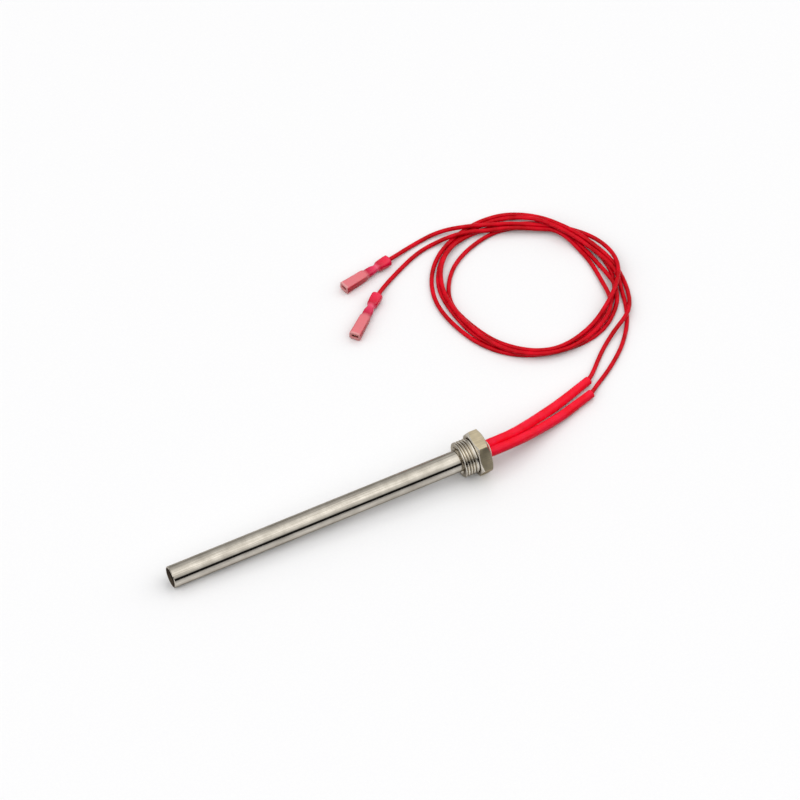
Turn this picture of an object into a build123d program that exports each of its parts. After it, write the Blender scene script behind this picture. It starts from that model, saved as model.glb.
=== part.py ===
# Pellet stove igniter: a cartridge heater in a screw-in fitting, with two sleeved leads.
#
# Millimetres, +Z up. The igniter lies as it comes to rest on a table: one flat of the hexagon
# and the rim of the tip touch Z = 0, so the tube climbs by a small angle towards the fitting.
# +X runs along the tube from the tip to the leads, and the origin is on the table, half way
# between the tip and the ends of the terminal pins.

import os
from math import atan, cos, pi, radians, sin, tan

from build123d import *

os.makedirs("parts", exist_ok=True)

# Sheath: a thin stainless tube, closed by a disc that is set back from the open rim.
tube_diameter = 10.0
tube_wall = 0.7
tube_reach = 140.0
rim_bevel = 0.3
tip_recess = 1.6
tip_disc_thickness = 1.2

# Screw-in fitting: a short pipe thread and a hexagon, turned from one bar.
thread_diameter = 16.4
thread_depth = 0.86
thread_length = 6.4
nose_bevel = 0.5
relief_width = 0.9
hex_width = 19.0
hex_length = 6.0
hex_face_diameter = 18.2
hex_bevel_angle = 30.0
tube_tail = 1.0
braze_leg = 0.7

# Heating core: a wound ceramic rod with the two terminal pins in its bores.
core_gap = 2.0
core_diameter = 6.9
winding_start = 4.0
winding_pitch = 5.0
winding_turns = 19
winding_wire = 0.5
pin_diameter = 1.2
pin_pitch = 4.5
pin_reach = 5.0
short_pin_depth = 22.0
bush_length = 6.0
seal_length = 10.9
seal_proud = 0.4

# Leads, their splices and the sleeves over the splices.
lead_diameter = 2.0
strand_diameter = 1.1
splice_diameter = 2.4
splice_length = 7.0
splice_gap = 1.5
strand_bare = 1.0
bend_room = 0.4
sleeve_diameter = 4.4
sleeve_wall = 0.5
sleeve_straight = 11.6

# Loose coil of the two leads: a ring whose band is widest where the turns fan out.
coil_centre = (64.0, 84.0)
coil_outer_radius = 43.0
coil_band = 8.7
coil_inner_shift = (-2.0, -3.4)
coil_height = 4.8
coil_top_round = 1.8
coil_foot_round = 0.8

# Insulated push-on receptacles at the ends of the leads.
cover_width = 5.4
cover_height = 4.3
cover_corner = 1.2
shoulder_width = 4.8
shoulder_height = 3.9
cover_start = 13.6
cavity_start = 14.0
cover_end = 26.0
cover_mouth_bevel = 0.3
cover_axis_height = 2.45
grip_bore = 3.3
grip_bore_depth = 6.6
crimp_bore = 2.5
cavity_width = 4.1
cavity_height = 2.5
contact_metal = 0.35
contact_roll_bore = 0.55
contact_end = 25.2
grip_start = 0.8
grip_end = 5.6
crimp_start = 6.4
crimp_end = 14.4
lead_entry = 5.2
strand_entry = 12.6

# Clearance between pieces that slide into each other.
slip = 0.05

# Share of the shorter run beside a corner that the corner's arc takes up.
arc_share = 0.45

# Radii and places along the tube, measured from the tip.
tube_radius = tube_diameter / 2
bore_radius = tube_radius - tube_wall
hex_front = tube_reach + thread_length
hex_rear = hex_front + hex_length
hex_half = hex_width / 2
hex_corner = hex_half / cos(pi / 6)
tube_end = hex_rear + tube_tail
seal_face = tube_end + seal_proud
pin_end = seal_face + pin_reach
seal_start = seal_face - seal_length
bush_start = seal_start - slip - bush_length
core_start = tip_recess + tip_disc_thickness + core_gap
core_end = bush_start - slip
core_length = core_end - core_start
core_radius = core_diameter / 2
winding_radius = core_radius + slip + winding_wire / 2
winding_length = winding_turns * winding_pitch

# Resting attitude: the tip's rim and the front of one flat share the table.
bevel_slope = tan(radians(hex_bevel_angle))
flat_front = hex_front + (hex_half - hex_face_diameter / 2) * bevel_slope
climb = atan((hex_half - tube_radius) / flat_front)
tip_height = tube_radius * cos(climb)
half_span = (pin_end * cos(climb) + (pin_diameter / 2 - tube_radius) * sin(climb)) / 2
tip = Vector(-half_span, 0, tip_height)
along = Vector(cos(climb), 0, sin(climb))
heater_axis = Axis(tip, along)

# Profile plane: local X is the distance from the tip, local Y the distance from the axis.
profile = Plane(origin=tip, x_dir=along, z_dir=(0, -1, 0))


def across(distance, sideways=0.0):
    """Plane square to the tube, a distance from the tip; its X runs sideways, its Y up."""
    centre = tip + along * distance + Vector(0, sideways, 0)
    return Plane(origin=centre, x_dir=(0, 1, 0), z_dir=along)


def finish(piece, name):
    """Label a finished piece and write it as its own node."""
    piece.part.label = name
    export_step(piece.part, f"parts/{name}.step")


# Sheath tube, with its rim bevelled inside and out.
with BuildPart() as sheath_tube:
    with BuildSketch(profile):
        with Locations((0, bore_radius)):
            Rectangle(tube_end, tube_wall, align=(Align.MIN, Align.MIN))
    revolve(axis=heater_axis)
    rim = sheath_tube.faces().sort_by(heater_axis)[0]
    chamfer(rim.outer_wire().edges(), rim_bevel)
finish(sheath_tube, "sheath_tube")

# Tip disc, welded inside the tube a little way back from the rim.
with BuildPart() as tip_disc:
    with BuildSketch(across(tip_recess)):
        Circle(bore_radius - slip)
    extrude(amount=tip_disc_thickness)
finish(tip_disc, "tip_disc")

# Magnesia fill: a sleeve of packed powder round the core, thinner where the winding is.
fill_start = tip_recess + tip_disc_thickness + slip
wound_start = core_start + winding_start - winding_wire
wound_end = core_start + winding_start + winding_length + winding_wire
with BuildPart() as magnesia_fill:
    with BuildSketch(profile):
        with BuildLine():
            Polyline(
                (fill_start, 0),
                (core_start - slip, 0),
                (core_start - slip, core_radius + slip),
                (wound_start, core_radius + slip),
                (wound_start, winding_radius + winding_wire / 2 + slip),
                (wound_end, winding_radius + winding_wire / 2 + slip),
                (wound_end, core_radius + slip),
                (core_end, core_radius + slip),
                (core_end, bore_radius - slip),
                (fill_start, bore_radius - slip),
                close=True,
            )
        make_face()
    revolve(axis=heater_axis)
finish(magnesia_fill, "magnesia_fill")

# Ceramic core with two long bores for the pins.
with BuildPart() as heater_core:
    with BuildSketch(across(core_start)):
        Circle(core_radius)
        with Locations((-pin_pitch / 2, 0), (pin_pitch / 2, 0)):
            Circle(pin_diameter / 2 + slip, mode=Mode.SUBTRACT)
    extrude(amount=core_length)
finish(heater_core, "heater_core")

# Resistance wire, wound on the core over the hot length.
with BuildPart() as resistance_wire:
    with BuildLine() as winding:
        Helix(
            winding_pitch,
            winding_length,
            winding_radius,
            center=tip + along * (core_start + winding_start),
            direction=along,
        )
    with BuildSketch(Plane(origin=winding.line @ 0, z_dir=winding.line % 0)):
        Circle(winding_wire / 2)
    sweep(is_frenet=True)
finish(resistance_wire, "resistance_wire")

# Terminal pins: one runs the length of the core, the other reaches only its rear end.
pin_starts = {"a": core_start + winding_start, "b": core_end - short_pin_depth}
pin_sides = {"a": pin_pitch / 2, "b": -pin_pitch / 2}
for mark, start in pin_starts.items():
    with BuildPart() as pin:
        with BuildSketch(across(start, pin_sides[mark])):
            Circle(pin_diameter / 2)
        extrude(amount=pin_end - start)
    finish(pin, f"pin_{mark}")

# Ceramic bush that spaces the pins, and the potting that seals the tube behind it.
plugs = {
    "end_bush": (bush_start, bush_length),
    "potting_seal": (seal_start, seal_length),
}
for name, (start, length) in plugs.items():
    with BuildPart() as plug:
        with BuildSketch(across(start)):
            Circle(bore_radius - slip)
            with Locations((-pin_pitch / 2, 0), (pin_pitch / 2, 0)):
                Circle(pin_diameter / 2 + slip, mode=Mode.SUBTRACT)
        extrude(amount=length)
    finish(plug, name)

# Screw-in fitting. The thread is a plain cylinder over its crests, with a bevelled nose and a
# relief groove. The hexagon is cut back by a cone at each face, as a turned one is.
thread_radius = thread_diameter / 2
cone_reach = (hex_corner - hex_face_diameter / 2) * bevel_slope
with BuildPart() as hex_fitting:
    with BuildSketch(across(hex_front)):
        RegularPolygon(hex_half, 6, major_radius=False)
    extrude(amount=hex_length)
    with BuildSketch(profile):
        with BuildLine():
            Polyline(
                (hex_front, 0),
                (hex_front, hex_face_diameter / 2),
                (hex_front + cone_reach, hex_corner),
                (hex_rear - cone_reach, hex_corner),
                (hex_rear, hex_face_diameter / 2),
                (hex_rear, 0),
                close=True,
            )
        make_face()
    revolve(axis=heater_axis, mode=Mode.INTERSECT)
    with BuildSketch(profile):
        with BuildLine():
            Polyline(
                (tube_reach, 0),
                (tube_reach, thread_radius - nose_bevel),
                (tube_reach + nose_bevel, thread_radius),
                (hex_front - relief_width, thread_radius),
                (hex_front - relief_width, thread_radius - thread_depth),
                (hex_front, thread_radius - thread_depth),
                (hex_front, 0),
                close=True,
            )
        make_face()
    revolve(axis=heater_axis)
    with BuildSketch(across(tube_reach)):
        Circle(tube_radius + slip)
    extrude(amount=thread_length + hex_length, mode=Mode.SUBTRACT)
finish(hex_fitting, "hex_fitting")

# Braze that holds the tube in the fitting, a small fillet behind the hexagon.
braze_radius = tube_radius + slip
with BuildPart() as braze_ring:
    with BuildSketch(profile):
        with BuildLine():
            Line((hex_rear, braze_radius), (hex_rear, braze_radius + braze_leg))
            RadiusArc((hex_rear, braze_radius + braze_leg), (hex_rear + braze_leg, braze_radius), braze_leg)
            Line((hex_rear + braze_leg, braze_radius), (hex_rear, braze_radius))
        make_face()
    revolve(axis=heater_axis)
finish(braze_ring, "braze_ring")

# Splices: a crimp barrel over each pin and the stripped end of its lead.
splice_start = seal_face + splice_gap
splice_end = splice_start + splice_length
strand_start = pin_end + slip
lead_start = splice_end + strand_bare
for mark, side in pin_sides.items():
    with BuildPart() as splice:
        with BuildSketch(across(splice_start, side)):
            Circle(splice_diameter / 2)
            Circle(pin_diameter / 2 + slip, mode=Mode.SUBTRACT)
        extrude(amount=splice_length)
    finish(splice, f"splice_{mark}")
    with BuildPart() as strand:
        with BuildSketch(across(strand_start, side)):
            Circle(strand_diameter / 2)
        extrude(amount=lead_start - strand_start)
    finish(strand, f"strand_{mark}_root")

# Routes of the sleeves and leads. Points are chosen along the real lay: X from the rear of the
# hexagon, Y from the tube's axis, Z from the table.
rear = tip + along * hex_rear
sleeve_routes = {
    "a": [(22.5, 5.8, 7.2), (32.5, 9.6, 4.7), (43.0, 13.3, 2.9), (53.0, 17.1, 2.3)],
    "b": [(22.5, 0.6, 6.7), (32.0, 3.8, 4.3), (42.0, 7.0, 2.6), (51.5, 10.4, 2.2)],
}
sleeve_ends = {"a": (62.3, 20.4, 2.2), "b": (60.0, 13.1, 2.2)}
feed_routes = {
    "a": [
        (67.2, 24.9, 1.2), (72.0, 29.9, 1.0), (77.0, 34.6, 1.0), (82.5, 38.8, 1.4), (87.8, 42.0, 2.5),
        (92.0, 44.1, 3.3), (96.3, 47.5, 3.3), (100.0, 53.0, 2.3), (102.4, 59.5, 1.2), (103.8, 66.2, 1.0),
        (103.6, 73.0, 1.0),
    ],
    "b": [
        (64.8, 17.2, 1.2), (70.2, 20.9, 1.0), (75.6, 24.8, 1.0), (80.5, 28.8, 1.0), (85.0, 33.0, 1.0),
        (89.0, 37.7, 1.0), (92.6, 42.6, 1.0), (95.4, 47.8, 1.0), (97.9, 53.8, 1.0), (99.8, 60.5, 1.0),
        (100.4, 67.5, 1.0),
    ],
}
tail_routes = {
    "a": [
        (61.0, 120.6, 1.0), (54.0, 124.4, 1.0), (46.5, 127.2, 1.0), (38.5, 128.4, 1.0), (30.0, 127.4, 1.0),
        (21.5, 125.3, 1.4), (12.8, 122.5, cover_axis_height),
    ],
    "b": [
        (57.0, 118.4, 1.0), (49.5, 121.6, 1.0), (41.5, 123.1, 1.0), (33.5, 122.9, 1.0), (25.5, 121.0, 1.0),
        (17.5, 117.6, 1.0), (10.5, 113.9, 1.0), (4.6, 110.1, 1.5), (-0.8, 105.9, cover_axis_height),
    ],
}
terminal_headings = {"a": 193.4, "b": 221.1}


def placed(points):
    """Route points as vectors in the part's frame."""
    return [Vector(rear.X + x, y, z) for x, y, z in points]


def corner_radii(points):
    """Largest arc that each corner's two runs allow."""
    radii = []
    for before, corner, after in zip(points, points[1:], points[2:]):
        run_in = corner - before
        run_out = after - corner
        shorter = min(run_in.length, run_out.length)
        half_turn = radians(run_in.get_angle(run_out)) / 2
        radii.append(arc_share * shorter / tan(half_turn))
    return radii


def print_route(name, points, radii, solid, area):
    """Say how tight the route is, and compare the solid with its section times its length."""
    length = solid.volume / area
    straight = sum((b - a).length for a, b in zip(points, points[1:]))
    print(f"{name}: runs {straight:.1f}, length {length:.1f}, tightest radius {min(radii):.1f}")


# Coil: the envelope of both leads' turns, one ring that lies on the table.
coil_inner_radius = coil_outer_radius - coil_band
with BuildPart() as lead_coil:
    with BuildSketch():
        with Locations((rear.X + coil_centre[0], coil_centre[1])):
            Circle(coil_outer_radius)
            with Locations(coil_inner_shift):
                Circle(coil_inner_radius, mode=Mode.SUBTRACT)
    extrude(amount=coil_height)
    fillet(lead_coil.faces().sort_by(Axis.Z)[-1].edges(), coil_top_round)
    fillet(lead_coil.faces().sort_by(Axis.Z)[0].edges(), coil_foot_round)
finish(lead_coil, "lead_coil")

# Sleeves over the splices, open tubes that end where the leads come out.
for mark, side in pin_sides.items():
    start = tip + along * seal_face + Vector(0, side, 0)
    points = [start, start + along * sleeve_straight]
    points += placed(sleeve_routes[mark] + [sleeve_ends[mark]])
    radii = corner_radii(points)
    with BuildPart() as sleeve:
        with BuildLine() as path:
            FilletPolyline(*points, radius=radii)
        with BuildSketch(Plane(origin=start, z_dir=path.line % 0)):
            Circle(sleeve_diameter / 2)
            Circle(sleeve_diameter / 2 - sleeve_wall, mode=Mode.SUBTRACT)
        sweep()
    finish(sleeve, f"sleeve_{mark}")
    section = pi * sleeve_wall * (sleeve_diameter - sleeve_wall)
    print_route(f"sleeve_{mark}", points, radii, sleeve.part, section)

# Leads from the splices to the coil, cut where they meet the coil's side.
lead_section = pi * lead_diameter**2 / 4
for mark, side in pin_sides.items():
    start = tip + along * (lead_start + bend_room) + Vector(0, side, 0)
    points = [start] + placed(sleeve_routes[mark] + [sleeve_ends[mark]] + feed_routes[mark])
    radii = corner_radii(points)
    with BuildPart() as feed:
        with BuildLine() as path:
            FilletPolyline(*points, radius=radii)
        with BuildSketch(Plane(origin=start, z_dir=path.line % 0)):
            Circle(lead_diameter / 2)
        sweep()
        print_route(f"lead_{mark}_feed", points, radii, feed.part, lead_section)
        add(lead_coil.part, mode=Mode.SUBTRACT)
    finish(feed, f"lead_{mark}_feed")


def terminal_plane(mark, distance):
    """Plane square to a terminal, a distance from where its lead enters; X sideways, Y up."""
    heading = radians(terminal_headings[mark])
    forward = Vector(cos(heading), sin(heading), 0)
    entry = placed([tail_routes[mark][-1]])[0]
    sideways = forward.cross(Vector(0, 0, 1)) * -1
    return Plane(origin=entry + forward * distance, x_dir=sideways, z_dir=forward)


# Leads from the coil to the receptacles.
for mark in tail_routes:
    inner_end = terminal_plane(mark, lead_entry).origin
    points = placed(tail_routes[mark]) + [inner_end]
    radii = corner_radii(points)
    with BuildPart() as tail:
        with BuildLine() as path:
            FilletPolyline(*points, radius=radii)
        with BuildSketch(Plane(origin=points[0], z_dir=path.line % 0)):
            Circle(lead_diameter / 2)
        sweep()
        print_route(f"lead_{mark}_tail", points, radii, tail.part, lead_section)
        add(lead_coil.part, mode=Mode.SUBTRACT)
    finish(tail, f"lead_{mark}_tail")

# Receptacle covers: a barrel crimped on the lead, a short waist, a second crimp and an open box
# that widens to its mouth. Each station gives the distance from the lead's entry, the width and
# the height.
crimp_stations = [
    (0.0, 4.9, 4.6), (0.5, 5.3, 4.8), (2.0, 5.3, 4.4), (4.4, 5.1, 4.1), (5.6, 5.0, 4.5),
    (6.4, 4.6, 4.4), (7.1, 3.8, 3.7), (8.1, 3.5, 3.4), (9.2, 4.2, 3.6), (10.6, 4.5, 3.5),
    (12.8, 4.5, 3.5), (cavity_start, 4.4, 3.7),
]
for mark in tail_routes:
    with BuildPart() as cover:
        for first, second in zip(crimp_stations, crimp_stations[1:]):
            for distance, width, height in (first, second):
                with BuildSketch(terminal_plane(mark, distance)):
                    Ellipse(width / 2, height / 2)
            loft(ruled=True)
        with BuildSketch(terminal_plane(mark, cover_start)):
            RectangleRounded(shoulder_width, shoulder_height, cover_corner)
        with BuildSketch(terminal_plane(mark, cover_end)):
            RectangleRounded(cover_width, cover_height, cover_corner)
        loft(ruled=True)
        mouth_axis = Axis(terminal_plane(mark, 0).origin, terminal_plane(mark, 0).z_dir)
        chamfer(cover.faces().sort_by(mouth_axis)[-1].edges(), cover_mouth_bevel)
        with BuildSketch(terminal_plane(mark, 0)):
            Circle(grip_bore / 2)
        extrude(amount=grip_bore_depth, mode=Mode.SUBTRACT)
        with BuildSketch(terminal_plane(mark, 0)):
            Circle(crimp_bore / 2)
        extrude(amount=cover_end, mode=Mode.SUBTRACT)
        with BuildSketch(terminal_plane(mark, cavity_start)):
            Rectangle(cavity_width, cavity_height)
        extrude(amount=cover_end - cavity_start, mode=Mode.SUBTRACT)
    finish(cover, f"cover_{mark}")

# Contacts: a grip and a crimp barrel, then a flat spring receptacle with two rolled edges.
contact_roll = contact_metal + contact_roll_bore
crimp_outer = crimp_bore / 2 - slip
crimp_inner = strand_diameter / 2 + slip
roll_height = contact_roll - crimp_outer
roll_side = cavity_width / 2 - slip - contact_roll
for mark in tail_routes:
    root = terminal_plane(mark, 0)
    length_plane = Plane(origin=root.origin, x_dir=root.z_dir, z_dir=root.x_dir * -1)
    with BuildPart() as contact:
        with BuildSketch(length_plane):
            with BuildLine():
                Polyline(
                    (grip_start, lead_diameter / 2 + slip),
                    (grip_start, grip_bore / 2 - slip),
                    (grip_end, grip_bore / 2 - slip),
                    (crimp_start, crimp_outer),
                    (crimp_end, crimp_outer),
                    (crimp_end, crimp_inner),
                    (grip_end, crimp_inner),
                    (grip_end - 2 * slip, lead_diameter / 2 + slip),
                    close=True,
                )
            make_face()
        revolve(axis=Axis(root.origin, root.z_dir))
        with BuildSketch(terminal_plane(mark, cavity_start + slip)):
            with Locations((0, -crimp_outer)):
                Rectangle(2 * roll_side, contact_metal, align=(Align.CENTER, Align.MIN))
        extrude(amount=contact_end - cavity_start - slip)
        with BuildSketch(terminal_plane(mark, cavity_start + contact_roll)):
            with Locations((-roll_side, roll_height), (roll_side, roll_height)):
                Circle(contact_roll)
                Circle(contact_roll - contact_metal, mode=Mode.SUBTRACT)
            with Locations((0, roll_height)):
                Rectangle(2 * roll_side, contact_roll, align=(Align.CENTER, Align.MAX), mode=Mode.SUBTRACT)
            with Locations((0, -crimp_outer)):
                Rectangle(2 * roll_side, contact_metal, align=(Align.CENTER, Align.MIN))
        extrude(amount=contact_end - cavity_start - contact_roll)
    finish(contact, f"contact_{mark}")
    with BuildPart() as strand:
        with BuildSketch(terminal_plane(mark, lead_entry + slip)):
            Circle(strand_diameter / 2)
        extrude(amount=strand_entry - lead_entry)
    finish(strand, f"strand_{mark}_end")
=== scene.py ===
# %% [markdown]
# # A pellet stove igniter, dressed for its picture
#
# The igniter is a thin stainless tube with a heater inside. It sits in a screw-in fitting, and two
# red leads come out behind it, lie in a loose coil and end in two insulated push-on receptacles.
# The engineering model is already packed as a fixed frame. This lesson loads it, gives every
# piece its real surface, and replaces the plain solids whose real shape has more to show: the
# thread, the sleeves, the leads and the receptacles.

# %% Load the frame
from math import atan, atan2, cos, hypot, pi, radians, sin

import bmesh
import bpy
from mathutils import Matrix, Vector


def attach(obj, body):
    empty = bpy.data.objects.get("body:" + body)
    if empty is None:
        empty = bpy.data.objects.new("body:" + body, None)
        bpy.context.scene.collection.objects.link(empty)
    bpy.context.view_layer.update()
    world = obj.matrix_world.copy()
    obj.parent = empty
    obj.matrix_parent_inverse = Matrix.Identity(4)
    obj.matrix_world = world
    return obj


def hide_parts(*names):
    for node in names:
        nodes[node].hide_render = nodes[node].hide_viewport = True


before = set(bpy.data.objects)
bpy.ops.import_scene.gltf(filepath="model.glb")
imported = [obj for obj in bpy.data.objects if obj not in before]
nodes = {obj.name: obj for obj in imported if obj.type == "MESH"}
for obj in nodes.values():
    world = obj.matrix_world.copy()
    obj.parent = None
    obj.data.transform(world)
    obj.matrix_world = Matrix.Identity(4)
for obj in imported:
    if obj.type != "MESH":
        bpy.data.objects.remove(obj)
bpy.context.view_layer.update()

mm = 0.001
print("nodes:", len(nodes))

# %% [markdown]
# ## The heater's own axis
#
# The igniter lies on one flat of its hexagon and on the rim of its tip. The flat stands further
# out than the tube's skin, so the tube climbs by a little under two degrees. Round pieces are
# easiest to model upright at the origin, as on a lathe. One matrix then lays them along the tube:
# their Z becomes the distance from the tip.

# %% Axis of the tube
hex_front = 146.4
hex_rear = 152.4
flat_outside_tube = 4.5
rest_behind_tip = 146.63094
climb = atan(flat_outside_tube / rest_behind_tip)
tip = Vector((-79.29515, 0, 4.99765))
along = Vector((cos(climb), 0, sin(climb)))
heater_place = Matrix.Translation(tip * mm) @ Matrix.Rotation(pi / 2 - climb, 4, "Y")
rear = tip + along * hex_rear
print("rear of the hexagon at", [round(value, 3) for value in rear])

# %% [markdown]
# ## Helpers
#
# An operator acts on whatever is selected, and loading the frame leaves its nodes selected. So
# everything is deselected before a new piece is added. A finished piece keeps its place in its
# mesh, with its object at the origin, rides on the one body, and takes the finish of a slot.

# %% Small helpers
def start_clean():
    """Leave edit mode and deselect everything."""
    if bpy.context.object and bpy.context.object.mode != "OBJECT":
        bpy.ops.object.mode_set(mode="OBJECT")
    bpy.ops.object.select_all(action="DESELECT")


def only(piece):
    """Make one object the only selected and the active one."""
    start_clean()
    piece.select_set(True)
    bpy.context.view_layer.objects.active = piece


def finish_piece(piece, name, material, place=None, smooth=35):
    """Name a piece, lay it in its place, and tell the frame what it rides on."""
    only(piece)
    piece.name = piece.data.name = name
    if place is not None:
        piece.data.transform(place)
    bpy.ops.object.transform_apply(location=True, rotation=True, scale=True)
    if piece.type == "MESH":
        bpy.ops.object.shade_smooth_by_angle(angle=radians(smooth))
    piece.data.materials.clear()
    piece.data.materials.append(material)
    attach(piece, "root")
    if piece.type == "MESH":
        print(name, "faces:", len(piece.data.polygons))


# %% [markdown]
# ## Materials as node trees
#
# Every finish is a small tree of nodes. One function adds a node with its settings and links, so
# a tree reads like a list. Colours are written as sRGB hex values, as on a colour chart, and one
# function turns them into the linear light that the renderer works in. The size of a pattern is
# written in millimetres, and its scale is one over that size.

# %% Node and colour helpers
def linear(hex_code):
    """Linear RGBA of an sRGB hex colour."""
    channels = []
    for start in (1, 3, 5):
        value = int(hex_code[start:start + 2], 16) / 255
        channels.append(value / 12.92 if value <= 0.04045 else ((value + 0.055) / 1.055) ** 2.4)
    return (*channels, 1.0)


def set_stops(elements, stops):
    """Fill a colour ramp, which starts with two stops, from (position, colour) pairs."""
    for index, (position, colour) in enumerate(stops):
        element = elements[index] if index < 2 else elements.new(position)
        element.position = position
        element.color = linear(colour) if isinstance(colour, str) else colour


def add_node(tree, kind, settings=(), **inputs):
    """Add a node with its settings and inputs; the setting "stops" fills a colour ramp.

    An input is named, or numbered as in i0. It gets a value, a socket to be linked from, or a
    node, which stands for its first output.
    """
    node = tree.nodes.new(kind)
    for key, value in dict(settings).items():
        if key == "stops":
            set_stops(node.color_ramp.elements, value)
        else:
            setattr(node, key, value)
    for key, value in inputs.items():
        socket = node.inputs[int(key[1:]) if key[1:].isdigit() else key.replace("_", " ")]
        if isinstance(value, bpy.types.Node):
            value = value.outputs[0]
        if isinstance(value, bpy.types.NodeSocket):
            tree.links.new(value, socket)
        else:
            socket.default_value = value
    return node


multiply = {"data_type": "RGBA", "blend_type": "MULTIPLY"}


def new_material(name):
    """Empty material; returns it and its tree."""
    material = bpy.data.materials.new(name)
    material.use_nodes = True
    material.node_tree.nodes.clear()
    return material, material.node_tree


def pattern_space(tree, turn=(0, 0, 0), scale=(1, 1, 1), origin=(0, 0, 0)):
    """Object coordinates, moved, turned and scaled for a pattern."""
    source = add_node(tree, "ShaderNodeTexCoord")
    return add_node(
        tree, "ShaderNodeMapping", {"vector_type": "TEXTURE"},
        Vector=source.outputs["Object"], Location=origin, Rotation=turn, Scale=scale,
    )


# %% [markdown]
# ## The camera
#
# The photograph is taken from above and from the tip's side, 51 degrees up. A long lens from
# nearly three metres away keeps the tube's two sides close to parallel, as they are there.

# %% Camera
camera_turn = radians(26.1)
camera_rise = radians(51.0)
camera_distance = 2800.0
aim = Vector((55.67, 48.85, 0.0))
level = Vector((sin(camera_turn), cos(camera_turn), 0))
forward = level * cos(camera_rise) - Vector((0, 0, sin(camera_rise)))
camera_data = bpy.data.cameras.new("camera")
camera_data.lens = 283.0
camera_data.sensor_width = 36.0
camera_data.clip_end = 20.0
camera = bpy.data.objects.new("camera", camera_data)
bpy.context.scene.collection.objects.link(camera)
camera.location = (aim - forward * camera_distance) * mm
camera.rotation_euler = forward.to_track_quat("-Z", "Y").to_euler()
bpy.context.scene.camera = camera
print("camera at", [round(value, 3) for value in camera.location])

# %% [markdown]
# ## Red silicone and the leads
#
# Igniter leads are stranded copper in extruded silicone, two millimetres across, softly glossy
# and deep red. The colour is even, with a faint cloudiness along the length. A plain diffuse red
# would go black in the gaps of the coil. The real jacket carries a little light inside, so some
# subsurface scattering keeps its shaded side red. Its skin has a fine grain from the extruder's
# die, drawn here coarse enough to show.

# %% Material of the leads
def red_jacket(name, deep, bright, roughness, glow, sheen):
    """Extruded red insulation: cloudy colour, soft gloss, a little light carried inside."""
    cloud_size = 6.25 * mm
    grain_size = 0.714 * mm
    material, tree = new_material(name)
    space = pattern_space(tree)
    clouds = add_node(tree, "ShaderNodeTexNoise", Vector=space, Scale=1 / cloud_size, Detail=3.0)
    grain = add_node(tree, "ShaderNodeTexNoise", Vector=space, Scale=1 / grain_size, Detail=2.0)
    colour = add_node(
        tree, "ShaderNodeValToRGB", {"stops": [(0.35, deep), (0.68, bright)]}, Fac=clouds
    )
    gloss = add_node(
        tree, "ShaderNodeMapRange", Value=clouds, To_Min=roughness - 0.06, To_Max=roughness + 0.08
    )
    skin = add_node(tree, "ShaderNodeBump", Strength=0.10, Distance=0.02 * mm, Height=grain)
    shader = add_node(
        tree, "ShaderNodeBsdfPrincipled", {"subsurface_method": "RANDOM_WALK"},
        Base_Color=colour, Roughness=gloss, Normal=skin, IOR=1.42, Specular_IOR_Level=sheen,
        Subsurface_Weight=glow, Subsurface_Radius=(0.9, 0.12, 0.1), Subsurface_Scale=0.6 * mm,
    )
    add_node(tree, "ShaderNodeOutputMaterial", Surface=shader)
    return material


lead_red = red_jacket("extruded_silicone_lead", "#BC0010", "#E20322", 0.27, 0.06, 0.16)
print("material:", lead_red.name)

# %% [markdown]
# The route of each lead is one smooth line. Its first points run behind the heater and through
# the sleeve, the next ones feed the coil, and the last ones run to the receptacle. The coil's
# turns are given as stations: an angle round the coil's middle, a distance from it and a height
# over the table. The turns fan out and lie over one another, as loose turns do, and a loop works
# out the points between the stations, 36 to a turn. They could be placed by x and y, but an angle
# and a distance keep each turn round, whatever is moved.

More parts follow.
